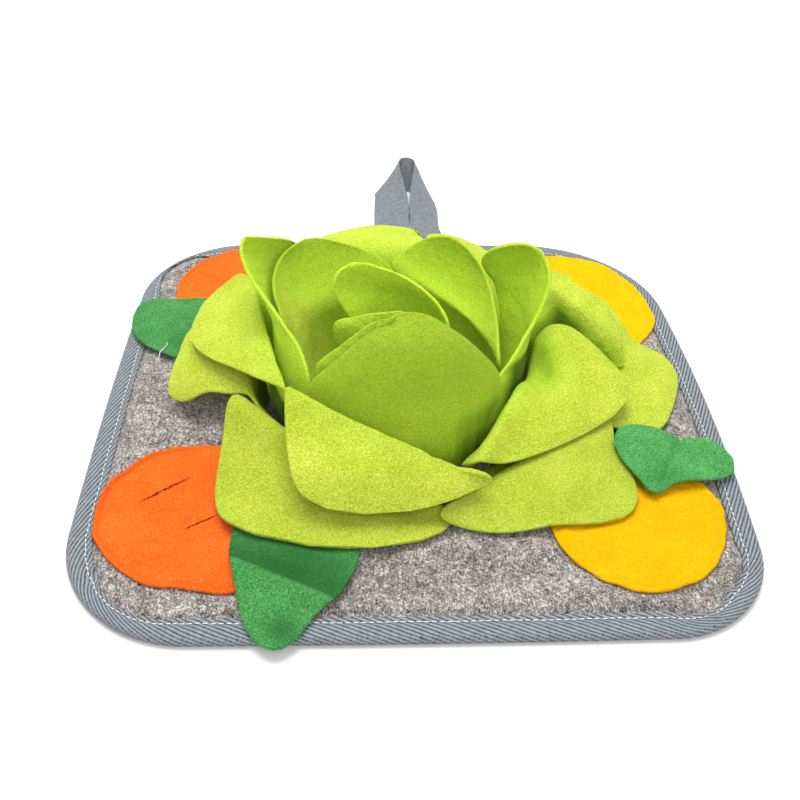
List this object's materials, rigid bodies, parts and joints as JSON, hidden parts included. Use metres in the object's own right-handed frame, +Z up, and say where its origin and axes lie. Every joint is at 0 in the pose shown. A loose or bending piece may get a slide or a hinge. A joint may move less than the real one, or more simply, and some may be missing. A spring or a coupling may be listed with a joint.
{
  "type": "snuffle mat",
  "caption": "Flat square felt foraging mat for small pets with a bound edge, a hanging loop, fleece discs and leaves, and a lettuce-shaped flower of fleece petals in the middle.",
  "frame": {"origin": "middle of the flat underside of the mat, where it rests on the floor", "axes": "+Z up out of the mat, +Y towards the hanging loop, +X to the right when seen from the front with the loop at the back"},
  "size_m": [0.333, 0.4255, 0.0925],
  "materials": {
    "lime": "lime green fleece with a short nap, cut edges left raw",
    "green": "leaf green fleece with a short nap",
    "orange": "orange fleece, edge sewn down just inside the rim",
    "yellow": "yellow fleece, edge sewn down just inside the rim",
    "felt": "mottled grey needle felt",
    "tape": "blue-grey twill tape"
  },
  "bodies": {
    "root": {"mat_felt": "felt", "edge_binding": "tape", "hang_loop": "tape", "disc_front_left": "orange", "disc_back_left": "orange", "disc_front_right": "yellow", "disc_back_right": "yellow", "leaf_front_left": "green", "leaf_back_left": "green", "leaf_front_right": "green", "cup_front": "lime", "cup_front_inner": "lime", "bud_back": "lime", "bud_front": "lime", "cup_back_left": "lime", "cup_back_right": "lime", "cup_left": "lime", "cup_right": "lime", "outer_front": "lime", "outer_right": "lime", "outer_left": "lime", "outer_back": "lime", "outer_back_centre": "lime", "outer_back_right": "lime", "lower_front": "lime", "lower_right": "lime", "lower_left": "lime", "lower_far_right": "lime", "lower_back_right": "lime", "lower_back_left": "lime"}
  },
  "joints": []
}
